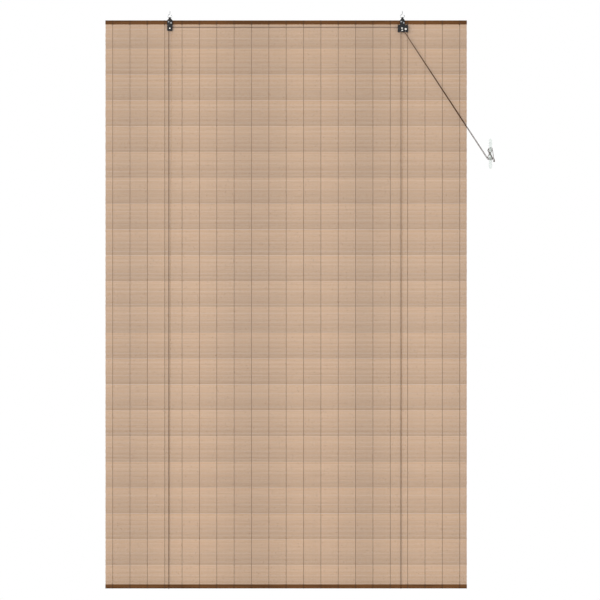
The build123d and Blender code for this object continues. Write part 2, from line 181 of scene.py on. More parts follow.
def close_outwards() -> None:
    """Turns the selected faces outwards and goes back to object mode."""
    bpy.ops.mesh.normals_make_consistent(inside=False)
    bpy.ops.object.mode_set(mode="OBJECT")


def select_long_edges(piece: Piece) -> None:
    """Selects the edges that run along X, in edit mode with edges as the select mode.

    Args:
        piece: The active piece, in edit mode.
    """
    bpy.ops.mesh.select_mode(type="EDGE")
    bpy.ops.mesh.select_all(action="DESELECT")
    bpy.ops.object.mode_set(mode="OBJECT")
    points = piece.data.vertices
    for edge in piece.data.edges:
        run = points[edge.vertices[1]].co - points[edge.vertices[0]].co
        edge.select = abs(run.x) > MOSTLY * run.length
    bpy.ops.object.mode_set(mode="EDIT")


def apply_all(piece: Piece) -> None:
    """Applies the piece's modifiers in order.

    Args:
        piece: The piece that carries them.
    """
    make_active(piece)
    for modifier in list(piece.modifiers):
        bpy.ops.object.modifier_apply(modifier=modifier.name)


def smooth(crease: float) -> None:
    """Shades the active piece smooth, but for edges sharper than the crease in degrees."""
    bpy.ops.object.shade_smooth_by_angle(angle=math.radians(crease))


def put_on(piece: Piece, material: Material) -> None:
    """Makes a material the piece's only one."""
    piece.data.materials.clear()
    piece.data.materials.append(material)


def finish_piece(piece: Piece, slot: str, material: Material, *replaced: str) -> None:
    """Gives a piece its material and body, logs its slot, and hides the solids that it stands for.

    Args:
        piece: The finished piece.
        slot: The record's material slot.
        material: The finish to put on it.
        replaced: The frame's nodes that it stands for.
    """
    put_on(piece, material)
    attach(piece, ROOT_BODY)
    if replaced:
        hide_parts(*replaced)
    LOG.info("piece %s: %s, rides on %s", piece.name, slot, ROOT_BODY)


def dress_nodes(nodes: tuple[str, ...], material: Material) -> None:
    """Puts a finish on some of the frame's own solids.

    Args:
        nodes: The nodes' names.
        material: The finish.
    """
    for node in nodes:
        put_on(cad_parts[node], material)
        LOG.info("node %s: %s", node, material.name)


@dataclass(frozen=True)
class Softening:
    """Rounds the sharp edges of a node's copy. Angles are in degrees."""

    edge: float
    merge: float = 0.01
    flat_angle: float = 0.5
    sharp_angle: float = 40.0
    crease: float = 35.0
    segments: int = 2

    def copy(self, node: str, name: str) -> Piece:
        """Copies a node's mesh, merges it and rounds its edges.

        Args:
            node: The node to copy.
            name: The new piece's name.

        Returns:
            The rounded copy.
        """
        piece = add_object(name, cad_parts[node].data.copy())
        make_active(piece)
        edit_all()
        bpy.ops.mesh.remove_doubles(threshold=self.merge * MM)
        bpy.ops.mesh.dissolve_limited(angle_limit=math.radians(self.flat_angle))
        bpy.ops.mesh.customdata_custom_splitnormals_clear()
        bpy.ops.object.mode_set(mode="OBJECT")
        bevel = piece.modifiers.new("edges", "BEVEL")
        bevel.width = self.edge * MM
        bevel.segments = self.segments
        bevel.limit_method = "ANGLE"
        bevel.angle_limit = math.radians(self.sharp_angle)
        bevel.use_clamp_overlap = True
        apply_all(piece)
        smooth(self.crease)
        weighted = piece.modifiers.new("flat_faces", "WEIGHTED_NORMAL")
        weighted.keep_sharp = True
        apply_all(piece)
        return piece


# Shader helpers


@dataclass(frozen=True)
class Pattern:
    """A noise, by its cells to the metre along X, Y and Z and the number of its finer layers."""

    cells: Place
    detail: float


class NodeBoard:
    """A node tree under construction, with short calls for the nodes that this file uses."""

    # Sockets of a Mix node that mixes colours
    MIX_SHARE, MIX_FIRST, MIX_SECOND, MIX_RESULT = 0, 6, 7, 2

    def __init__(self, tree: Tree) -> None:
        """Starts on an existing tree."""
        self.tree = tree

    def feed(self, socket: Socket, value: Value | Colour) -> None:
        """Links an input, or sets its value.

        Args:
            socket: The input.
            value: Another node's output, or a plain value.
        """
        if isinstance(value, bpy.types.NodeSocket):
            self.tree.links.new(value, socket)
        elif socket.type == "RGBA":
            socket.default_value = (*value, 1.0)
        else:
            socket.default_value = value

    def node(self, kind: str, inputs: Inputs | None = None, **settings: object) -> Node:
        """Adds a node.

        Args:
            kind: Its type name, without the ShaderNode part.
            inputs: What its inputs get, by name or number.
            settings: Its own properties.

        Returns:
            The new node.
        """
        node = self.tree.nodes.new("ShaderNode" + kind)
        for name, value in settings.items():
            setattr(node, name, value)
        for key, value in (inputs or {}).items():
            self.feed(node.inputs[key], value)
        return node

    def group(self, tree: Tree, **inputs: Value) -> Node:
        """Places a node group and feeds its inputs by name."""
        return self.node("Group", inputs, node_tree=tree)

    def calc(self, operation: str, first: Value, second: Value = 0.0) -> Socket:
        """The result of a Math node's operation on one or two values."""
        return self.node("Math", {0: first, 1: second}, operation=operation).outputs[0]

    def plus(self, first: Value, second: Value) -> Socket:
        """The sum of two values."""
        return self.calc("ADD", first, second)

    def minus(self, first: Value, second: Value) -> Socket:
        """The first value less the second."""
        return self.calc("SUBTRACT", first, second)

    def times(self, first: Value, *others: Value) -> Socket:
        """Multiplies values.

        Args:
            first: The first value.
            others: The values to multiply it by, in turn.

        Returns:
            Their product.
        """
        for other in others:
            first = self.calc("MULTIPLY", first, other)
        return first

    def swing(self, value: Value, width: Value) -> Socket:
        """Moves a value that runs from 0 to 1, so that it swings around 0 by a width."""
        return self.times(self.minus(value, 0.5), width)

    def wave(self, function: str, turn: Value) -> Socket:
        """The SINE or COSINE of an angle in radians, lifted to run from 0 to 1."""
        return self.times(self.plus(self.calc(function, turn), 1.0), 0.5)

    def cell(self, value: Value, size: float) -> Socket:
        """The number of the cell that a length lies in, for cells of a size in millimetres."""
        return self.calc("FLOOR", self.calc("DIVIDE", value, size * MM))

    def spread(self, value: Value, span: Span, to: Span) -> Socket:
        """Maps a value smoothly from one span to another, and holds it at the span's ends."""
        inputs = dict(enumerate((value, *span, *to)))
        return self.node("MapRange", inputs, interpolation_type="SMOOTHSTEP").outputs[0]

    def blend(self, share: Value, first: Colour | Socket, second: Colour | Socket) -> Socket:
        """Mixes two colours, with a share from 0 to 1 of the second."""
        inputs = {self.MIX_SHARE: share, self.MIX_FIRST: first, self.MIX_SECOND: second}
        return self.node("Mix", inputs, data_type="RGBA").outputs[self.MIX_RESULT]

    def scaled(self, colour: Colour | Socket, factor: Value) -> Socket:
        """A colour made lighter or darker by a factor."""
        return self.node("VectorMath", {0: colour, "Scale": factor}, operation="SCALE").outputs[0]

    def axes(self, vector: Socket) -> tuple[Socket, ...]:
        """The X, Y and Z of a vector."""
        return tuple(self.node("SeparateXYZ", {0: vector}).outputs)

    def noise(self, place: Socket, pattern: Pattern) -> Socket:
        """Lays a noise on the surface.

        Args:
            place: The coordinates.
            pattern: The noise.

        Returns:
            A value from 0 to 1.
        """
        stretch = self.node("Mapping", {"Vector": place, "Scale": pattern.cells})
        inputs = {"Vector": stretch.outputs[0], "Scale": 1.0, "Detail": pattern.detail}
        return self.node("TexNoise", inputs).outputs[0]

    def tone_along(self, value: Value, waves: float, start: float) -> Socket:
        """A wandering tone from 0 to 1 along a value, by its waves to the metre and its start."""
        inputs = {"W": self.plus(self.times(value, waves), start), "Scale": 1.0, "Detail": 1.0}
        return self.node("TexNoise", inputs, noise_dimensions="1D").outputs[0]

    def dice(self, value: Value) -> Socket:
        """A random value from 0 to 1 that is the same for the same input."""
        return self.node("TexWhiteNoise", {"W": value}, noise_dimensions="1D").outputs[0]


class Effects:
    """The shader effects that more than one finish uses, each one a node group built once."""

    FIBRES = Pattern((12, 1500, 1500), 3.0)
    STAINS = Pattern((5, 160, 160), 2.0)
    RUBS = Pattern((190, 190, 190), 5.0)
    SCRATCHES = Pattern((2400, 900, 160), 3.0)
    # Where the noise is above this level a scuff shows, and a full cover lowers it by the next
    SCUFF_LEVEL = 0.72
    SCUFF_COVER = 0.4
    SCUFF_EDGE = 8.0

    @staticmethod
    def new_group(name: str, inputs: Kinds, outputs: Kinds) -> tuple[NodeBoard, Node, Node]:
        """Makes an empty node group.

        Args:
            name: The group's name.
            inputs: Its inputs' kinds by name.
            outputs: Its outputs' kinds by name.

        Returns:
            A board on the new group, its input node and its output node.
        """
        tree = bpy.data.node_groups.new(name, "ShaderNodeTree")
        for way, sockets in (("INPUT", inputs), ("OUTPUT", outputs)):
            for label, kind in sockets.items():
                tree.interface.new_socket(name=label, in_out=way, socket_type="NodeSocket" + kind)
        return NodeBoard(tree), tree.nodes.new("NodeGroupInput"), tree.nodes.new("NodeGroupOutput")

    @classmethod
    @cache
    def grain(cls) -> Tree:
        """Bamboo fibres that run along X: fine pale and dark lines, and longer stains.

        Returns:
            The group, with Tone around 1 and Height from 0 to 1.
        """
        inputs = {"Place": "Vector", "Strength": "Float", "Stain": "Float"}
        board, start, end = cls.new_group("bamboo_grain", inputs, {"Tone": "Float", "Height": "Float"})
        fine = board.noise(start.outputs["Place"], cls.FIBRES)
        stain = board.noise(start.outputs["Place"], cls.STAINS)
        lines = board.plus(board.minus(fine, 0.5), board.swing(stain, start.outputs["Stain"]))
        tone = board.plus(1.0, board.times(lines, start.outputs["Strength"]))
        board.feed(end.inputs["Tone"], tone)
        board.feed(end.inputs["Height"], fine)
        return board.tree

    @classmethod
    @cache
    def scuffs(cls) -> Tree:
        """Small rubbed places and fine scratches on a hard surface.

        Returns:
            The group, with a Mask from 0 to 1.
        """
        inputs = {"Place": "Vector", "Cover": "Float"}
        board, start, end = cls.new_group("small_scuffs", inputs, {"Mask": "Float"})
        cloud = board.noise(start.outputs["Place"], cls.RUBS)
        lines = board.noise(start.outputs["Place"], cls.SCRATCHES)
        both = board.times(cloud, board.plus(lines, 0.5))
        level = board.minus(cls.SCUFF_LEVEL, board.times(start.outputs["Cover"], cls.SCUFF_COVER))
        above = board.times(board.minus(both, level), cls.SCUFF_EDGE)
        board.feed(end.inputs["Mask"], board.node("Clamp", {0: above}).outputs[0])
        return board.tree


@dataclass(frozen=True)
class Skin:
    """How a surface shines: its roughness span, its specular level and its bump in millimetres."""

    rough: Span
    relief: float
    gloss: float = 0.5


class Finish:
    """A material under construction: its board, its shader and its coordinates."""

    NOISE_SPAN = (0.3, 0.7)

    def __init__(self, name: str) -> None:
        """Makes the material with one shader.

        Args:
            name: The material's name.
        """
        self.material = bpy.data.materials.new(name)
        self.material.use_nodes = True
        self.material.node_tree.nodes.clear()
        self.board = NodeBoard(self.material.node_tree)
        self.shader = self.board.node("BsdfPrincipled")
        self.board.node("OutputMaterial", {"Surface": self.shader.outputs[0]})
        coordinates = self.board.node("TexCoord")
        self.place = coordinates.outputs["Object"]
        self.uv = coordinates.outputs["UV"]

    def set(self, **values: Value | Colour) -> None:
        """Feeds the shader's sockets by their names, with an underscore for each space."""
        for name, value in values.items():
            self.board.feed(self.shader.inputs[name.replace("_", " ")], value)

    def bump(self, height: Socket, depth: float) -> None:
        """Feeds a height from 0 to 1 into the shader's normal, with its depth in millimetres."""
        node = self.board.node("Bump", {"Strength": 1.0, "Distance": depth * MM, "Height": height})
        self.set(Normal=node.outputs[0])

    def surface(self, colour: Socket, pattern: Socket, height: Socket, skin: Skin) -> None:
        """Feeds colour, gloss, roughness and bump.

        Args:
            colour: The colour.
            pattern: A noise, with which the surface gets rougher.
            height: The bump's height from 0 to 1.
            skin: The surface's roughness, gloss and relief.
        """
        self.set(Base_Color=colour, Specular_IOR_Level=skin.gloss)
        self.set(Roughness=self.board.spread(pattern, self.NOISE_SPAN, skin.rough))
        self.bump(height, skin.relief)

    def scuffs(self, cover: float) -> Socket:
        """The mask of rubbed places, more of them with a higher cover."""
        return self.board.group(Effects.scuffs(), Place=self.place, Cover=cover).outputs["Mask"]


# Finishes


@dataclass(frozen=True)
class ReedBamboo:
    """Pale split bamboo. Tone goes by reed, by band and slowly along the mat."""

    pale: Colour = (0.585, 0.4, 0.262)
    warm: Colour = (0.49, 0.292, 0.17)
    warm_share: float = 0.15
    warm_swing: float = 0.22
    second_throw: float = 0.37
    reed_swing: float = 0.024
    first_band: float = 95.0
    band_height: float = 100.0
    band_fall: float = 0.22
    column_wave: float = 448.0
    column_bright: float = -361.0
    column_swing: float = 0.05
    bay_swing: float = 0.06
    streaks: float = 130.0
    streak_start: float = 3.0
    streak_swing: float = 0.07
    down_the_mat: Span = (0.965, 1.035)
    node_mark: Colour = (0.25, 0.13, 0.065)
    node_spacing: float = 310.0
    node_scatter: float = 9.0
    node_reach: Span = (0.0, 0.0035)
    node_share: Span = (0.85, 0.0)
    grain_strength: float = 0.45
    grain_stain: float = 0.25
    skin: Skin = Skin(rough=(0.52, 0.72), relief=0.08, gloss=0.2)

    def columns(self, board: NodeBoard, x: Socket) -> Socket:
        """Tone across the mat: a slow wave, a step at each warp thread and fine streaks.

        Args:
            board: The material's board.
            x: The place along the blind.

        Returns:
            The tone's factor, around 1.
        """
        rate = math.tau / (self.column_wave * MM)
        turn = board.times(board.minus(x, self.column_bright * MM), rate)
        wave = board.times(board.calc("COSINE", turn), self.column_swing)
        bay = board.swing(board.dice(board.cell(x, WARP_PITCH)), self.bay_swing)
        streak = board.swing(board.tone_along(x, self.streaks, self.streak_start), self.streak_swing)
        return board.plus(1.0, board.plus(board.plus(wave, bay), streak))

    def bands(self, board: NodeBoard, depth: Socket) -> Socket:
        """Tone down the mat: it falls along each band and rises slowly from top to foot.

        Args:
            board: The material's board.
            depth: The place below the mat's top.

        Returns:
            The tone's factor, around 1.
        """
        below = board.minus(depth, self.first_band * MM)
        phase = board.calc("FRACT", board.calc("DIVIDE", below, self.band_height * MM))
        rise = board.spread(depth, (0.0, (MAT_TOP - MAT_FOOT) * MM), self.down_the_mat)
        return board.times(board.plus(1.0, board.swing(phase, -self.band_fall)), rise)

    def node_marks(self, board: NodeBoard, x: Socket, own: Socket) -> Socket:
        """The dark marks where the cane had its nodes, at another place on each reed.

        Args:
            board: The material's board.
            x: The place along the blind.
            own: The reed's random value.

        Returns:
            How much of the mark shows.
        """
        spacings = board.calc("DIVIDE", x, self.node_spacing * MM)
        along = board.plus(spacings, board.times(own, self.node_scatter))
        from_node = board.calc("ABSOLUTE", board.minus(board.calc("FRACT", along), 0.5))
        return board.spread(from_node, self.node_reach, self.node_share)

    def build(self) -> Material:
        """Builds the material.

        Returns:
            The finish for the reeds.
        """
        finish = Finish("split_bamboo_reeds")
        board = finish.board
        x, _, z = board.axes(finish.place)
        depth = board.minus(MAT_TOP * MM, z)
        reed = board.cell(depth, REED_PITCH)
        own = board.dice(reed)
        other = board.dice(board.plus(reed, self.second_throw))
        strength, stain = self.grain_strength, self.grain_stain
        grain = board.group(Effects.grain(), Place=finish.place, Strength=strength, Stain=stain)
        alone = board.plus(1.0, board.swing(own, self.reed_swing))
        across = self.columns(board, x)
        tone = board.times(self.bands(board, depth), across, grain.outputs["Tone"], alone)
        share = board.plus(self.warm_share, board.times(other, self.warm_swing))
        base = board.scaled(board.blend(share, self.pale, self.warm), tone)
        colour = board.blend(self.node_marks(board, x, own), base, self.node_mark)
        height = grain.outputs["Height"]
        finish.surface(colour, height, height, self.skin)
        return finish.material


@dataclass(frozen=True)
class StainedBamboo:
    """Brown stained bamboo of the battens, painted darker where a warp thread crosses: painted shade
    of the thread.
    """

    brown: Colour = (0.168, 0.07, 0.022)
    dark: Colour = (0.075, 0.03, 0.01)
    patches: Pattern = Pattern((4.5, 60, 60), 2.0)
    patch_span: Span = (0.35, 0.68)
    patch_share: Span = (0.0, 0.6)
    # Painted shade round each warp thread where it wraps the batten: its reach, its darkest core and
    # how dark it gets
    thread_shade_reach: float = 3.2
    thread_shade_core: float = 0.2
    thread_shade_share: Span = (0.8, 0.0)
    grain_strength: float = 0.9
    grain_stain: float = 1.0
    skin: Skin = Skin(rough=(0.36, 0.55), relief=0.1, gloss=0.12)

    def build(self) -> Material:
        """Builds the material.

        Returns:
            The finish for both battens.
        """
        finish = Finish("stained_bamboo_batten")
        board = finish.board
        strength, stain = self.grain_strength, self.grain_stain
        grain = board.group(Effects.grain(), Place=finish.place, Strength=strength, Stain=stain)
        slow = board.noise(finish.place, self.patches)
        # Painted shade: the batten darkens towards each warp thread's place, out to the reach
        threads = board.calc("DIVIDE", board.axes(finish.place)[0], WARP_PITCH * MM)
        off = board.calc("ABSOLUTE", board.minus(threads, board.calc("ROUND", threads)))
        reach = self.thread_shade_reach / WARP_PITCH
        mark = board.spread(off, (self.thread_shade_core * reach, reach), self.thread_shade_share)
        patch = board.spread(slow, self.patch_span, self.patch_share)
        base = board.scaled(board.blend(patch, self.brown, self.dark), grain.outputs["Tone"])
        height = grain.outputs["Height"]
        finish.surface(board.blend(mark, base, self.dark), height, height, self.skin)
        return finish.material


@dataclass(frozen=True)
class CottonThread:
    """Thin brown cotton, spun along the blind's height, with painted light on the plies and painted
    shade between them. Its plies turn in radians to the metre.
    """

    brown: Colour = (0.085, 0.045, 0.024)
    light: Colour = (0.17, 0.1, 0.058)
    light_share: float = 0.45
    ply_rise: float = 5200.0
    ply_lean: float = 9000.0
    fluff: Pattern = Pattern((900, 900, 500), 3.0)
    skin: Skin = Skin(rough=(0.78, 0.95), relief=0.06, gloss=0.15)

    def build(self) -> Material:
        """Builds the material.

        Returns:
            The finish for the warp threads.
        """
        finish = Finish("warp_cotton_thread")
        board = finish.board
        x, _, z = board.axes(finish.place)
        slant = board.plus(board.times(z, self.ply_rise), board.times(x, self.ply_lean))
        ply = board.wave("SINE", slant)
        fluff = board.noise(finish.place, self.fluff)
        # The plies' crests are painted lighter and the grooves between them darker: painted light and
        # shade. The fluff adds random tone.
        share = board.times(board.plus(ply, fluff), self.light_share)
        finish.surface(board.blend(share, self.brown, self.light), fluff, ply, self.skin)
        return finish.material


@dataclass(frozen=True)
class TwistedCord:
    """Brown cord of twisted strands, which follow the tube's own map. The grooves between the strands
    are painted darker: painted shade.
    """

    brown: Colour = (0.095, 0.036, 0.011)
    shade: Colour = (0.035, 0.013, 0.005)
    groove_span: Span = (0.0, 0.45)
    fluff: Pattern = Pattern((1300, 1300, 700), 3.0)
    fluff_span: Span = (0.25, 0.75)
    fluff_tone: Span = (0.7, 1.25)
    skin: Skin = Skin(rough=(0.8, 0.95), relief=0.3, gloss=0.05)

    def build(self) -> Material:
        """Builds the material.

        Returns:
            The finish for the cords and their knot.
        """
        finish = Finish("twisted_brown_cord")
        board = finish.board
        round_cord, along_cord, _ = board.axes(finish.uv)
        around = board.times(round_cord, math.tau * CORD_STRANDS)
        along = board.times(along_cord, math.tau * CORD_STRANDS / (TWIST_PITCH * MM))
        strand = board.wave("COSINE", board.plus(around, along))
        fluff = board.noise(finish.place, self.fluff)
        # Painted shade: the grooves between the strands are mixed towards the shade colour, and the
        # fluff adds random tone
        groove = board.spread(strand, self.groove_span, (0.0, 1.0))
        tone = board.times(groove, board.spread(fluff, self.fluff_span, self.fluff_tone))
        finish.surface(board.blend(tone, self.shade, self.brown), fluff, groove, self.skin)
        return finish.material


@dataclass(frozen=True)
class BlackLacquer:
    """Black lacquered sheet steel with small rubbed places."""

    black: Colour = (0.01, 0.01, 0.011)
    rubbed: Colour = (0.1, 0.1, 0.105)
    cover: float = 0.22
    bare_metal: float = 0.55
    peel: Pattern = Pattern((700, 700, 700), 2.0)
    skin: Skin = Skin(rough=(0.24, 0.36), relief=0.02, gloss=0.3)

    def build(self) -> Material:
        """Builds the material.

        Returns:
            The finish for both straps.
        """
        finish = Finish("black_lacquered_steel")
        board = finish.board
        mask = finish.scuffs(self.cover)
        peel = board.noise(finish.place, self.peel)
        finish.surface(board.blend(mask, self.black, self.rubbed), peel, peel, self.skin)
        finish.set(Metallic=board.times(mask, self.bare_metal))
        return finish.material


@dataclass(frozen=True)
class PlatedSteel:
    """Zinc plate or polished nickel, by its colours and roughness."""

    name: str
    bright: Colour
    dull: Colour
    rough: Span
    cover: float = 0.6
    cloud: Pattern = Pattern((420, 420, 420), 4.0)
    cloud_span: Span = (0.4, 0.75)
    cloud_share: Span = (0.0, 0.7)
    relief: float = 0.015

    def build(self) -> Material:
        """Builds the material.

        Returns:
            The finish for hooks, fixings or rivets.
        """
        finish = Finish(self.name)
        board = finish.board
        cloud = board.noise(finish.place, self.cloud)
        dulled = board.spread(cloud, self.cloud_span, self.cloud_share)
        share = board.calc("MAXIMUM", dulled, finish.scuffs(self.cover))
        finish.set(Base_Color=board.blend(share, self.bright, self.dull), Metallic=1.0)
        finish.set(Roughness=board.spread(share, (0.0, 1.0), self.rough))
        finish.bump(cloud, self.relief)
        return finish.material


@dataclass(frozen=True)
class BlackNylon:
    """Moulded black nylon of the wheels and the roller."""

    black: Colour = (0.018, 0.018, 0.019)
    worn: Colour = (0.06, 0.058, 0.055)
    cover: float = 0.7
    grit: Pattern = Pattern((2200, 2200, 2200), 2.0)
    skin: Skin = Skin(rough=(0.42, 0.6), relief=0.02)

    def build(self) -> Material:
        """Builds the material.

        Returns:
            The finish for wheels and roller.
        """
        finish = Finish("moulded_black_nylon")
        grit = finish.board.noise(finish.place, self.grit)
        colour = finish.board.blend(finish.scuffs(self.cover), self.black, self.worn)
        finish.surface(colour, grit, grit, self.skin)
        return finish.material


@dataclass(frozen=True)
class ClearPlastic:
    """Clear moulded plastic with faint flow marks and a milky tint."""

    clear: Colour = (0.9, 0.94, 0.92)
    milky: Colour = (0.8, 0.85, 0.82)
    flow: Pattern = Pattern((120, 120, 45), 3.0)
    rough: Span = (0.04, 0.1)
    cover: float = 0.55
    scuff_rough: float = 0.2
    relief: float = 0.05
    transmission: float = 0.86
    refraction: float = 1.47

    def build(self) -> Material:
        """Builds the material.

        Returns:
            The finish for the cleat.
        """
        finish = Finish("clear_moulded_plastic")
        board = finish.board
        flow = board.noise(finish.place, self.flow)
        smooth_part = board.spread(flow, Finish.NOISE_SPAN, self.rough)
        rubbed_part = board.times(finish.scuffs(self.cover), self.scuff_rough)
        finish.set(Base_Color=board.blend(flow, self.clear, self.milky))
        finish.set(Roughness=board.plus(smooth_part, rubbed_part))
        finish.set(Transmission_Weight=self.transmission, IOR=self.refraction)
        finish.bump(flow, self.relief)
        return finish.material


@dataclass(frozen=True)
class PaleFloor:
    """A plain pale floor."""

    pale: Colour = (0.8, 0.795, 0.785)
    cloud: Pattern = Pattern((3, 3, 3), 2.0)
    tone: Span = (0.985, 1.015)
    rough: float = 0.85

    def build(self) -> Material:
        """Builds the material.

        Returns:
            The finish for the floor.
        """
        finish = Finish("plain_pale_floor")
        cloud = finish.board.noise(finish.place, self.cloud)
        tone = finish.board.spread(cloud, Finish.NOISE_SPAN, self.tone)
        finish.set(Base_Color=finish.board.scaled(self.pale, tone), Roughness=self.rough)
        return finish.material


@dataclass(frozen=True)
class Finishes:
    """Every finish of the blind, built once."""

    reeds: Material
    battens: Material
    thread: Material
    cord: Material
    lacquer: Material
    zinc: Material
    nickel: Material
    nylon: Material
    clear: Material

    @classmethod
    def build(cls) -> "Finishes":
        """Builds all the materials.

        Returns:
            The finished set.
        """
        zinc = PlatedSteel(
            "bright_zinc_plate",
            bright=(0.6, 0.61, 0.62),
            dull=(0.3, 0.305, 0.31),
            rough=(0.2, 0.42),
        )
        nickel = PlatedSteel(
            "polished_rivet",
            bright=(0.78, 0.76, 0.72),
            dull=(0.5, 0.48, 0.44),
            rough=(0.12, 0.34),
        )
        return cls(
            reeds=ReedBamboo().build(),
            battens=StainedBamboo().build(),
            thread=CottonThread().build(),
            cord=TwistedCord().build(),
            lacquer=BlackLacquer().build(),
            zinc=zinc.build(),
            nickel=nickel.build(),
            nylon=BlackNylon().build(),
            clear=ClearPlastic().build(),
        )


# Studio


@dataclass(frozen=True)
class Lamp:
    """A soft square lamp."""

    name: str
    place: Place
    watts: float
    size: float = 3000.0

    def build(self, aim: Vector) -> None:
        """Sets up the lamp.

        Args:
            aim: What it points at, in metres.
        """
        data = bpy.data.lights.new(self.name, "AREA")
        data.shape = "SQUARE"
        data.size = self.size * MM
        data.energy = self.watts
        lamp = add_object(self.name, data)
        lamp.location = metres(*self.place)
        lamp.rotation_euler = (aim - metres(*self.place)).to_track_quat("-Z", "Y").to_euler()


@dataclass(frozen=True)
class Studio:
    """Camera, lamps, world and floor."""

    centre_x: float = 53.7
    centre_z: float = -1108.8
    view_span: float = 2322.6
    distance: float = 14000.0
    sensor: float = 36.0
    view_depth: float = 100000.0
    floor_z: float = -2500.0
    floor_radius: float = 2500.0
    floor_sides: int = 96
    world_light: float = 0.62
    key: Lamp = Lamp("key_lamp", place=(-3200.0, -5000.0, 900.0), watts=120.0)
    fill: Lamp = Lamp("fill_lamp", place=(3600.0, -4600.0, -1200.0), watts=45.0)

    def camera(self) -> None:
        """Places the camera square to the blind, as in the photograph."""
        data = bpy.data.cameras.new("camera")
        data.sensor_width = self.sensor
        data.lens = self.sensor * self.distance / self.view_span
        data.clip_end = self.view_depth * MM
        camera = add_object("camera", data)
        camera.location = metres(self.centre_x, -self.distance, self.centre_z)
        camera.rotation_euler = (math.radians(90), 0.0, 0.0)
        bpy.context.scene.camera = camera

    def world(self) -> None:
        """A white world: plain light on the object, pure white to camera, gloss and glass."""
        world = bpy.data.worlds.new("white_studio")
        bpy.context.scene.world = world
        world.use_nodes = True
        world.node_tree.nodes.clear()
        board = NodeBoard(world.node_tree)
        path = board.node("LightPath").outputs
        seen = board.calc("MAXIMUM", path["Is Camera Ray"], path["Is Glossy Ray"])
        seen = board.calc("MAXIMUM", seen, path["Is Transmission Ray"])
        strength = board.plus(self.world_light, board.times(seen, 1 - self.world_light))
        background = board.node("Background", {"Color": (1.0, 1.0, 1.0), "Strength": strength})
        board.node("OutputWorld", {"Surface": background.outputs[0]})

    def floor(self) -> None:
        """A round pale floor below the blind."""
        bpy.ops.mesh.primitive_circle_add(
            vertices=self.floor_sides,
            radius=self.floor_radius * MM,
            fill_type="NGON",
            location=metres(0, 0, self.floor_z),
        )
        floor = named_primitive("studio_floor")
        put_on(floor, PaleFloor().build())

    def build(self) -> None:
        """Builds the studio."""
        bpy.context.scene.view_settings.view_transform = "Standard"
        self.camera()
        for lamp in (self.key, self.fill):
            lamp.build(metres(0, 0, self.centre_z))
        self.world()
        deselect_all()
        self.floor()
        LOG.info("studio: camera %.0f mm lens", bpy.context.scene.camera.data.lens)


# Cords


@dataclass(frozen=True)
class TwistedTube:
    """The body of a cord: strands twisted together, swept along a line."""

    sides: int = 12
    crown_radius: float = 1.08
    groove_radius: float = 0.84
    ring_step: float = 1.25
    crease: float = 60.0

    def rings(self, line: list[Vector]) -> list[Vector]:
        """Sets the rings of the tube close enough for its twist, all on the line.

        Args:
            line: The smooth line.

        Returns:
            The same line with more points where it is straight.
        """
        places = [line[0]]
        for start, end in zip(line, line[1:]):
            parts = max(1, round((end - start).length / (self.ring_step * MM)))
            places.extend(start.lerp(end, part / parts) for part in range(1, parts + 1))
        return places

    def radius(self, turn: float, length: float) -> float:
        """The twisted section's radius.

        Args:
            turn: The angle round the cord, in radians.
            length: How far along the cord, in metres.

        Returns:
            The radius in metres.
        """
        wave = math.cos(CORD_STRANDS * (turn + math.tau * length / (TWIST_PITCH * MM)))
        middle = (self.crown_radius + self.groove_radius) / 2
        return (middle + (self.crown_radius - middle) * wave) * MM

    def sections(self, points: list[Vector]) -> tuple[list[Vector], list[float]]:
        """Sets a section across the line at each of its points.

        Args:
            points: The line, in metres.

        Returns:
            The sections' corners, and how far along the line each section is.
        """
        ahead = (points[1] - points[0]).normalized()
        normal = ahead.orthogonal().normalized()
        corners: list[Vector] = []
        lengths = [0.0]
        for index, point in enumerate(points):
            last = points[max(index - 1, 0)]
            following = points[min(index + 1, len(points) - 1)]
            direction = (following - last).normalized()
            normal = ahead.rotation_difference(direction) @ normal
            ahead = direction
            across = direction.cross(normal)
            if index:
                lengths.append(lengths[-1] + (point - last).length)
            for side in range(self.sides):
                turn = math.tau * side / self.sides
                ring = normal * math.cos(turn) + across * math.sin(turn)
                corners.append(point + ring * self.radius(turn, lengths[-1]))
        return corners, lengths

    def faces(self, rings: int) -> list[tuple[int, ...]]:
        """Joins the sections by a wall and closes both ends.

        Args:
            rings: How many sections there are.

        Returns:
            The faces, by their corners' numbers.
        """
        walls = []
        for first in range(0, (rings - 1) * self.sides, self.sides):
            for side in range(self.sides):
                here = first + side
                beside = first + (side + 1) % self.sides
                walls.append((here, beside, beside + self.sides, here + self.sides))
        start = tuple(reversed(range(self.sides)))
        end = tuple(range((rings - 1) * self.sides, rings * self.sides))
        return [*walls, start, end]

    def build(self, name: str, line: list[Vector]) -> Piece:
        """Sweeps the tube, with a map of turns and metres on it.

        Args:
            name: The piece's name.
            line: The line to follow, in metres.

        Returns:
            The tube, closed at both ends.
        """
        points = self.rings(line)
        corners, lengths = self.sections(points)
        mesh = bpy.data.meshes.new(name)
        mesh.from_pydata(corners, [], self.faces(len(points)))
        uv = mesh.uv_layers.new(name="UVMap")
        for face in mesh.polygons:
            closes = face.index % self.sides == self.sides - 1 and len(face.vertices) == 4
            for corner in face.loop_indices:
                ring, side = divmod(mesh.loops[corner].vertex_index, self.sides)
                around = 1.0 if closes and side == 0 else side / self.sides
                uv.data[corner].uv = (around, lengths[ring])
        tube = add_object(name, mesh)
        make_active(tube)
        smooth(self.crease)
        return tube


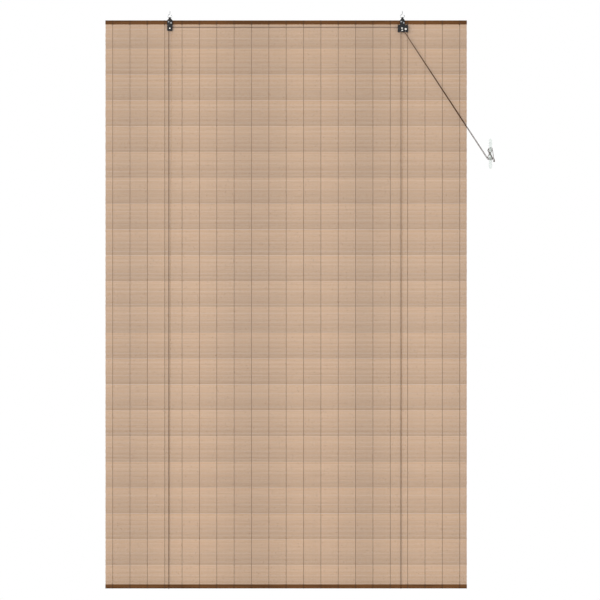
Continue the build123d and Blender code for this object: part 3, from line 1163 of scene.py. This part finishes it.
@dataclass(frozen=True)
class PullCord:
    """One pull cord, from its eye behind the head batten to the knot at the cleat."""

    name: str
    node: str
    length: float
    route: tuple[Place, ...]
    diameter: float = 2.0

    def path(self) -> list[Vector]:
        """Reads the route's smooth line.

        Returns:
            The points of the spline, in metres.
        """
        curve = bpy.data.curves.new(self.name + "_route", "CURVE")
        curve.dimensions = "3D"
        spline = add_spline(curve, "NURBS", self.route)
        spline.order_u = 3
        spline.use_endpoint_u = True
        spline.resolution_u = 10
        carrier = add_object(self.name + "_route", curve)
        line = bpy.data.meshes.new_from_object(carrier)
        points = [vertex.co.copy() for vertex in line.vertices]
        bpy.data.objects.remove(carrier)
        bpy.data.meshes.remove(line)
        bpy.data.curves.remove(curve)
        steps = zip(points, points[1:])
        return [points[0], *(place for last, place in steps if (place - last).length > SAME_PLACE)]

    def build(self, finish: Material, knot: Piece) -> None:
        """Args:
            finish: The cord's finish.
            knot: The knot at its far end. Not used.
        """
        points = self.path()
        cord = TwistedTube().build(self.name, points)
        finish_piece(cord, "brown_cord", finish, self.node)


@dataclass(frozen=True)
class EndKnot:
    """The knot that ties both cords' ends: cord wound round the two tails."""

    centre: Place = (805.0, 0.0, -571.0)
    winding_radius: float = 2.1
    cord_radius: float = 1.08
    height: float = 6.0
    turns: float = 2.25
    points_per_turn: int = 20
    tail_offset: float = 1.2

    def winding(self) -> list[Vector]:
        """The winding's line, a rising helix that begins inside.

        Returns:
            Points in metres.
        """
        x, y, z = self.centre
        rise = self.height - 2 * self.cord_radius
        count = round(self.turns * self.points_per_turn)
        points = [metres(x, y, z - rise / 2)]
        for index in range(count + 1):
            turn = math.tau * index / self.points_per_turn
            across = self.winding_radius * math.cos(turn)
            away = self.winding_radius * math.sin(turn)
            points.append(metres(x + across, y + away, z + rise * (index / count - 0.5)))
        return points

    def build(self, finish: Material) -> Piece:
        """Builds the knot.

        Args:
            finish: The cord's finish.

        Returns:
            The knot.
        """
        x, y, z = self.centre
        half = self.height / 2
        tube = TwistedTube()
        knot = tube.build("cord_knot", self.winding())
        tails = []
        for side in Side:
            tail_x = x + side.value * self.tail_offset
            ends = [metres(tail_x, y, z + half), metres(tail_x, y, z - half)]
            tails.append(tube.build("cord_tail", ends))
        make_active(knot, *tails)
        bpy.ops.object.join()
        finish_piece(knot, "brown_cord", finish, "cord_end_knot")
        return knot


LEFT_ROUTE = (
    # The eye behind the head batten
    (-445.1, 12.7, -39.25), (-448.05, 12.7, -39.25), (-448.05, 12.7, -33.75),
    (-442.55, 12.7, -33.75), (-442.6, 12.7, -45.8),
    # Down the back and under the bottom batten
    (-454.1, 12.7, -2215.3), (-454.2, 12.7, -2227.3),
    (-454.2, 2.1, -2227.3), (-454.2, 2.1, -2215.3),
    # Up the front and over the left wheel
    (-454.2, 0.0, -64.8), (-454.2, 0.0, -52.8), (-442.2, 0.0, -52.8),
    # Across to the right block, over its wheel and through the lock
    (440.9, 0.0, -52.8), (452.9, 0.0, -52.8), (452.9, 0.0, -63.3), (458.4, 0.1, -71.7),
    # Down to the cleat, and its turns there
    (774.4, 5.1, -555.5), (781.0, 5.2, -565.6), (799.6, 6.4, -567.8), (799.8, -4.2, -556.6),
    (782.2, -4.2, -530.0), (784.2, 6.4, -520.0), (797.4, 6.8, -517.8), (798.8, -7.0, -528.6),
    (779.0, -7.0, -553.6), (783.4, 8.2, -559.8), (799.4, 9.4, -558.8),
    # The tail into the knot
    (806.2, 0.0, -561.4), (806.2, 0.0, -568.0),
)
RIGHT_ROUTE = (
    # The eye behind the head batten
    (454.5, 12.7, -39.25), (457.45, 12.7, -39.25), (457.45, 12.7, -33.75),
    (451.95, 12.7, -33.75), (451.9, 12.7, -45.8),
    # Down the back and under the bottom batten
    (444.5, 12.7, -2215.3), (444.5, 12.7, -2227.3), (444.5, 2.1, -2227.3), (444.5, 2.1, -2215.3),
    # Up the front, over its wheel and through the lock
    (444.5, -4.2, -64.8), (444.5, -4.2, -52.8), (452.9, -4.2, -52.8),
    (452.9, -4.2, -63.3), (458.4, -4.0, -71.7),
    # Down to the cleat, and its turns there
    (776.5, 4.4, -553.1), (783.0, 4.6, -563.2), (797.4, 5.2, -565.0), (797.6, -4.2, -558.0),
    (779.8, -4.2, -531.6), (781.4, 5.6, -525.4), (796.2, 5.8, -522.6),
    (799.2, -2.6, -530.0), (801.4, -3.4, -547.0),
    # The tail into the knot
    (803.8, 0.0, -560.0), (803.8, 0.0, -568.0),
)


@dataclass(frozen=True)
class Cords:
    """Both pull cords and their knot."""

    left: PullCord = PullCord("left_pull_cord", "left_cord", length=6083.8, route=LEFT_ROUTE)
    right: PullCord = PullCord("right_pull_cord", "right_cord", length=5129.1, route=RIGHT_ROUTE)

    def build(self, finishes: Finishes) -> None:
        """Builds the knot, then both cords.

        Args:
            finishes: The blind's finishes.
        """
        knot = EndKnot().build(finishes.cord)
        for cord in (self.left, self.right):
            cord.build(finishes.cord, knot)


# Mat, threads and battens


@dataclass(frozen=True)
class ReedMat:
    """The mat: one split reed modelled and repeated down the blind, each one a little different."""

    width: float = 1400.0
    top: float = MAT_TOP
    foot: float = MAT_FOOT
    front: float = 6.5
    thickness: float = 1.8
    pitch: float = REED_PITCH
    reed_height: float = 4.58
    reed_edge: float = 0.5
    cuts: int = 4
    first_gap: int = 19
    gap_every: int = 20
    gap_push: float = 0.1
    height_swing: float = 0.01
    wander: float = 0.05
    end_inset: float = 0.9
    crease: float = 20.0
    seed: int = 11

    def count(self) -> int:
        """How many reeds the mat has."""
        return round((self.top - self.foot) / self.pitch)

    def middle(self, reed: int) -> float:
        """The height of a reed's middle, in millimetres."""
        return self.top - (reed + 0.5) * self.pitch

    def one_reed(self) -> Piece:
        """Models the first reed: a strip with softened edges.

        Returns:
            The reed.
        """
        deselect_all()
        centre = metres(0, self.front + self.thickness / 2, self.middle(0))
        size = metres(self.width, self.thickness, self.reed_height)
        bpy.ops.mesh.primitive_cube_add(size=1, location=centre, scale=size)
        reed = named_primitive("bamboo_reeds")
        bpy.ops.object.mode_set(mode="EDIT")
        select_long_edges(reed)
        bpy.ops.mesh.bevel(offset=self.reed_edge * MM, segments=1, affect="EDGES")
        select_long_edges(reed)
        bpy.ops.mesh.subdivide(number_cuts=self.cuts)
        bpy.ops.object.mode_set(mode="OBJECT")
        return reed

    def vary(self, mat: Piece, corners: int) -> None:
        """Gives each reed its own height, place and slight bends.

        Args:
            mat: All the reeds as one mesh.
            corners: Vertices of one reed.
        """
        rng = random.Random(self.seed)
        half = self.width / 2 * MM
        step = 2 * half / (self.cuts + 1)
        for reed in range(self.count()):
            middle = self.middle(reed) * MM
            grow = 1 + rng.uniform(-self.height_swing, self.height_swing)
            push = rng.uniform(-self.wander, self.wander) / 2
            if (reed - self.first_gap) % self.gap_every == 0:
                push = -self.gap_push
            if (reed + 1 - self.first_gap) % self.gap_every == 0:
                push = self.gap_push
            bends = [rng.uniform(-self.wander, self.wander) / 2 for _ in range(self.cuts + 2)]
            insets = [rng.uniform(0, self.end_inset), rng.uniform(0, self.end_inset)]
            for index in range(reed * corners, (reed + 1) * corners):
                point = mat.data.vertices[index].co
                section = round((point.x + half) / step)
                point.z = middle + (point.z - middle) * grow + (push + bends[section]) * MM
                if section == 0:
                    point.x += insets[0] * MM
                if section == self.cuts + 1:
                    point.x -= insets[1] * MM

    def build(self, finishes: Finishes) -> None:
        """Builds the mat.

        Args:
            finishes: The blind's finishes.
        """
        mat = self.one_reed()
        corners = len(mat.data.vertices)
        repeat = mat.modifiers.new("reeds", "ARRAY")
        repeat.count = self.count()
        repeat.use_relative_offset = False
        repeat.use_constant_offset = True
        repeat.constant_offset_displace = metres(0, 0, -self.pitch)
        apply_all(mat)
        self.vary(mat, corners)
        smooth(self.crease)
        finish_piece(mat, "reed_bamboo", finishes.reeds, "reed_mat")


@dataclass(frozen=True)
class WarpThreads:
    """The threads that tie reeds and battens: two strands each, crossing between the reeds."""

    count: int = 21
    pitch: float = WARP_PITCH
    thread_radius: float = 0.27
    flattening: float = 2.5
    crease: float = 80.0
    mat: ReedMat = ReedMat()
    batten_front: float = 3.4
    batten_back: float = 11.4
    batten_height: float = 15.0
    batten_corner: float = 1.5
    loop_start: float = 4.0
    over_reed: float = 1.45
    cross_shift: float = 0.1
    press: float = 0.8
    tie_drop: float = 2.2
    tie_radius: float = 0.75
    tie_stretch: float = 1.4
    tie_turns: float = 2.5
    tie_points: int = 10

    def loop(self, near: float, height: float) -> list[Place]:
        """The loop round a batten, from the mat's front to its back.

        Args:
            near: The batten's edge next to the mat.
            height: From there to its outer edge, below 0 for the bottom batten.

        Returns:
            Points in millimetres.
        """
        way = math.copysign(1, height)
        away = self.thread_radius * way
        cut = self.batten_corner * way
        far = near + height
        inside = near - self.loop_start * way
        front = self.batten_front - self.thread_radius
        back = self.batten_back + self.thread_radius
        return [
            (0, self.mat.front - self.thread_radius, inside),
            (0, front, near),
            (0, front, far - cut),
            (0, front + self.batten_corner, far + away),
            (0, back - self.batten_corner, far + away),
            (0, back, far - cut),
            (0, back, near),
            (0, self.mat.front + self.mat.thickness + self.thread_radius, inside),
        ]

    def strand(self, start: Face) -> list[Place]:
        """One strand down the mat, over one reed and under the next.

        Args:
            start: The face that it lies on at the first reed.

        Returns:
            Points in millimetres.
        """
        front = self.mat.front - self.thread_radius * self.press
        back = self.mat.front + self.mat.thickness + self.thread_radius * self.press
        reeds = self.mat.count()
        points = []
        for reed in range(reeds):
            z = self.mat.middle(reed)
            y = front if (reed + start.value) % 2 == 0 else back
            shift = self.cross_shift if y == front else -self.cross_shift
            points.append((shift, y, z + self.over_reed))
            points.append((shift, y, z - self.over_reed))
            if reed < reeds - 1:
                points.append((0, (front + back) / 2, z - self.mat.pitch / 2))
        return points

    def tie(self) -> list[Place]:
        """The tie below the head batten: the thread wound round itself, along X.

        Returns:
            Points in millimetres.
        """
        centre_y = self.mat.front - self.tie_radius - 2 * self.thread_radius
        centre_z = self.mat.top - self.tie_drop
        count = round(self.tie_turns * self.tie_points)
        points = []
        for index in range(count + 1):
            turn = math.tau * index / self.tie_points
            x = (index / count - 0.5) * self.tie_radius
            y = centre_y + self.tie_radius * math.cos(turn)
            points.append((x, y, centre_z + self.tie_stretch * self.tie_radius * math.sin(turn)))
        return points

    def one_thread(self) -> Piece:
        """Models the thread at X = 0 with its loops and its tie under the head batten.

        Returns:
            The thread.
        """
        curve = bpy.data.curves.new("warp_thread", "CURVE")
        curve.dimensions = "3D"
        curve.bevel_depth = self.thread_radius * MM
        curve.bevel_resolution = 0
        curve.use_fill_caps = True
        runs = [
            self.strand(Face.FRONT),
            self.strand(Face.BACK),
            self.loop(self.mat.top, self.batten_height),
            self.loop(self.mat.foot, -self.batten_height),
            self.tie(),
        ]
        for run in runs:
            add_spline(curve, "POLY", run)
        make_active(add_object("warp_thread", curve))
        bpy.ops.object.convert(target="MESH")
        thread = bpy.context.object
        thread.data.transform(Matrix.Diagonal((self.flattening, 1.0, 1.0, 1.0)))
        smooth(self.crease)
        return thread

    def build(self, finishes: Finishes) -> None:
        """Builds all the threads, of which the first stands for the frame's node.

        Args:
            finishes: The blind's finishes.
        """
        model = self.one_thread()
        middle = (self.count - 1) / 2
        for index in range(self.count):
            mesh = model.data.copy()
            mesh.transform(Matrix.Translation(metres((index - middle) * self.pitch, 0, 0)))
            thread = add_object(f"warp_thread_{index + 1:02d}", mesh)
            replaced = () if index else ("warp_threads",)
            finish_piece(thread, "warp_cotton", finishes.thread, *replaced)
        bpy.data.objects.remove(model)


@dataclass(frozen=True)
class Battens:
    """The two bamboo laths, which keep the frame's own solids."""

    nodes: tuple[str, ...] = ("head_batten", "bottom_batten")

    def build(self, finishes: Finishes) -> None:
        """Puts the stained finish on both laths."""
        dress_nodes(self.nodes, finishes.battens)


# Hooks, blocks and cleat


@dataclass(frozen=True)
class ScrewHook:
    """An open ring of wire below a threaded shank, spun from one circle."""

    side: Side
    half_spacing: float = 450.0
    wire: float = 3.0
    sides: int = 16
    ring_radius: float = 7.4
    ring_steps: int = 40
    bend_radius: float = 2.5
    bend_steps: int = 6
    lead: float = 0.6
    mouth: float = 3.5
    neck: float = 0.5
    core_radius: float = 1.16
    thread_start: float = 1.2
    thread_end: float = 8.5
    thread_pitch: float = 1.1
    thread_steps: int = 16
    ridge_half: float = 0.462
    ridge_root: float = 0.05
    tip: float = 12.0
    tip_share: float = 0.1
    merge: float = 0.005
    crease: float = 40.0

    def spin(self, centre: Vector, angle: float, steps: int) -> None:
        """Spins the selected rim about an axis along Y, through a centre in metres."""
        bpy.ops.mesh.spin(steps=steps, angle=angle, center=centre, axis=(0, 1, 0))

    def ring(self, x: float) -> None:
        """Spins the selected rim through the bend and round the ring, and closes its end.

        Args:
            x: The hook's place.
        """
        reach = self.ring_radius + self.bend_radius
        ring_z = -self.lead - math.sqrt(reach**2 - self.bend_radius**2)
        bend = math.acos(self.bend_radius / reach)
        opening = (self.mouth + self.wire) / self.ring_radius
        sweep = math.tau - opening - (math.pi / 2 - bend)
        self.spin(metres(x - self.bend_radius, 0, -self.lead), -bend, self.bend_steps)
        self.spin(metres(x, 0, ring_z), sweep, self.ring_steps)
        bpy.ops.mesh.edge_face_add()

    def shank(self, x: float) -> None:
        """Draws the selected rim up into the core of the thread and a point.

        Args:
            x: The hook's place.
        """
        stages = (
            (self.thread_start + self.lead - self.neck, 1.0),
            (self.neck, self.core_radius / (self.wire / 2)),
            (self.thread_end - self.thread_start, 1.0),
            (self.tip - self.thread_end, self.tip_share),
        )
        for rise, shrink in stages:
            bpy.ops.mesh.extrude_region_move(TRANSFORM_OT_translate={"value": (0, 0, rise * MM)})
            bpy.ops.transform.resize(value=(shrink, shrink, 1), center_override=(x * MM, 0, 0))
        bpy.ops.mesh.edge_face_add()

    def wire_body(self, x: float) -> Piece:
        """Models the wire: ring and bend below the first rim, and the shank above it.

        Args:
            x: The hook's place.

        Returns:
            The wire.
        """
        deselect_all()
        centre = metres(x, 0, -self.lead)
        radius = self.wire / 2 * MM
        bpy.ops.mesh.primitive_circle_add(vertices=self.sides, radius=radius, location=centre)
        hook = named_primitive(f"screw_hook_{self.side.name.lower()}")
        edit_all()
        self.ring(x)
        bpy.ops.mesh.select_all(action="DESELECT")
        bpy.ops.object.mode_set(mode="OBJECT")
        for vertex in hook.data.vertices:
            off = vertex.co - centre
            vertex.select = abs(off.z) < SAME_PLACE and abs(off.length - radius) < SAME_PLACE
        bpy.ops.object.mode_set(mode="EDIT")
        bpy.ops.mesh.select_mode(type="VERT")
        self.shank(x)
        bpy.ops.mesh.select_all(action="SELECT")
        bpy.ops.mesh.remove_doubles(threshold=self.merge * MM)
        close_outwards()
        return hook

    def thread(self, x: float) -> Piece:
        """Models the thread as a ridge wound round the core.

        Args:
            x: The hook's place.

        Returns:
            The ridge.
        """
        root = self.core_radius - self.ridge_root
        places = [
            metres(root, 0, self.thread_start - self.ridge_half),
            metres(self.wire / 2, 0, self.thread_start),
            metres(root, 0, self.thread_start + self.ridge_half),
        ]
        profile = bpy.data.meshes.new("hook_thread")
        profile.from_pydata(places, [(0, 1), (1, 2), (2, 0)], [])
        ridge = add_object("hook_thread", profile)
        winding = ridge.modifiers.new("winding", "SCREW")
        winding.axis = "Z"
        winding.screw_offset = self.thread_pitch * MM
        winding.iterations = int((self.thread_end - self.thread_start) / self.thread_pitch)
        winding.steps = self.thread_steps
        winding.render_steps = self.thread_steps
        apply_all(ridge)
        ridge.data.transform(Matrix.Translation(metres(x, 0, 0)))
        edit_all()
        bpy.ops.mesh.fill_holes(sides=3)
        close_outwards()
        return ridge

    def build(self, finishes: Finishes) -> None:
        """Builds the hook.

        Args:
            finishes: The blind's finishes.
        """
        x = self.side.value * self.half_spacing
        hook = self.wire_body(x)
        make_active(hook, self.thread(x))
        bpy.ops.object.join()
        smooth(self.crease)
        finish_piece(hook, "zinc_steel", finishes.zinc, f"{self.side.name.lower()}_hook")


@dataclass(frozen=True)
class StrapBlocks:
    """The folded straps with softened edges, and their fixings."""

    softening: Softening = Softening(edge=0.22)
    fixings: tuple[str, ...] = (
        "left_spacers",
        "right_spacers",
        "left_fixing_screws",
        "right_fixing_screws",
        "fixing_washers",
        "fixing_nuts",
    )

    def build(self, finishes: Finishes) -> None:
        """Builds both straps and dresses the fixings.

        Args:
            finishes: The blind's finishes.
        """
        for side in Side:
            name = side.name.lower()
            strap = self.softening.copy(f"{name}_strap", f"folded_strap_{name}")
            finish_piece(strap, "black_steel", finishes.lacquer, f"{name}_strap")
        dress_nodes(self.fixings, finishes.zinc)


@dataclass(frozen=True)
class CordLock:
    """The wheels, axles, anvil roller and toothed cam, on the frame's own solids."""

    turning: tuple[str, ...] = ("left_wheel", "right_rear_wheel", "right_front_wheel", "anvil_roller")
    rivets: tuple[str, ...] = ("left_axle", "right_axle", "roller_axle", "cam_axle")
    cam: tuple[str, ...] = ("locking_cam",)

    def build(self, finishes: Finishes) -> None:
        """Dresses the cord lock.

        Args:
            finishes: The blind's finishes.
        """
        dress_nodes(self.turning, finishes.nylon)
        dress_nodes(self.rivets, finishes.nickel)
        dress_nodes(self.cam, finishes.zinc)


@dataclass(frozen=True)
class WallCleat:
    """The clear cleat beside the blind, with softened edges."""

    node: str = "cleat"
    softening: Softening = Softening(edge=0.25)

    def build(self, finishes: Finishes) -> None:
        """Builds the cleat from the frame's solid."""
        cleat = self.softening.copy(self.node, "wall_cleat")
        finish_piece(cleat, "clear_plastic", finishes.clear, self.node)


def main() -> None:
    """Builds the studio and every sub-assembly in order."""
    logging.basicConfig(level=logging.INFO, format="%(name)s: %(message)s")
    Studio().build()
    finishes = Finishes.build()
    Cords().build(finishes)
    ReedMat().build(finishes)
    WarpThreads().build(finishes)
    Battens().build(finishes)
    for side in Side:
        ScrewHook(side).build(finishes)
    StrapBlocks().build(finishes)
    CordLock().build(finishes)
    WallCleat().build(finishes)
    deselect_all()


if __name__ == "__main__":
    main()
